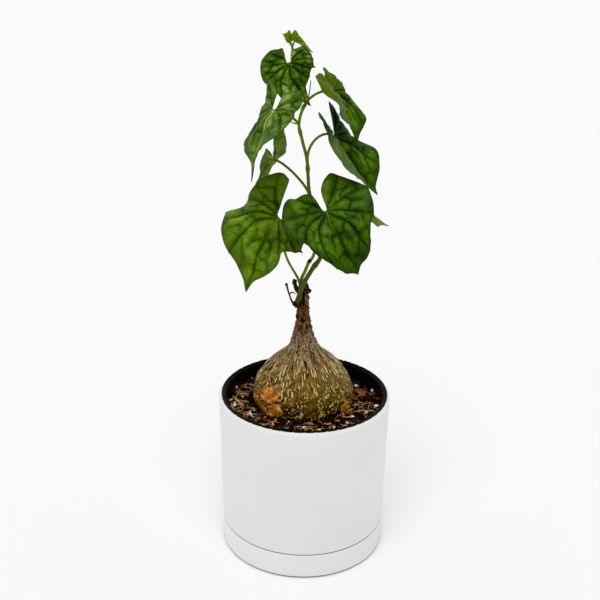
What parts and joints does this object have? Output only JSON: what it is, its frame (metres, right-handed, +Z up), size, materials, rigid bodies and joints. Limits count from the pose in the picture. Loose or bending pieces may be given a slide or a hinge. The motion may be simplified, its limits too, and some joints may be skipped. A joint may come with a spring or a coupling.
{
  "type": "potted gerrardanthus macrorhizus",
  "caption": "Climbing caudex plant with a bulbous ribbed stem base, a thin leafy vine and heart-shaped lobed leaves, in a white cylindrical ceramic pot on a matching saucer.",
  "frame": {"origin": "on the pot's axis, in the plane of the saucer's underside", "axes": "+Z up along the pot's axis; -Y towards the front that the picture shows; +X to the right of it"},
  "size_m": [0.114, 0.114, 0.3455],
  "materials": {
    "ceramic": "matt white glaze",
    "black_plastic": "satin",
    "soil_mix": "loose bark, coir and perlite",
    "caudex_bark": "corky, ribbed",
    "vine_bark": "smooth young bark",
    "green_stem": "satin",
    "leaf_green": "satin, net-veined",
    "young_leaf": "satin",
    "dry_leaf": "dry, crumpled"
  },
  "bodies": {
    "root": {"saucer": "ceramic", "ceramic_pot": "ceramic", "nursery_pot": "black_plastic", "soil": "soil_mix", "caudex": "caudex_bark", "vine_stem": "vine_bark", "side_shoot": "green_stem", "leaf_crest": "leaf_green", "leaf_left_upper": "leaf_green", "leaf_right_upper": "leaf_green", "leaf_right_middle": "leaf_green", "leaf_left_inner": "leaf_green", "leaf_front_left": "leaf_green", "leaf_front_right": "leaf_green", "leaf_back_right": "leaf_green", "leaf_tip_left": "young_leaf", "leaf_tip_right": "young_leaf", "dry_flake_upper": "dry_leaf", "dry_flake_lower": "dry_leaf"}
  },
  "joints": []
}
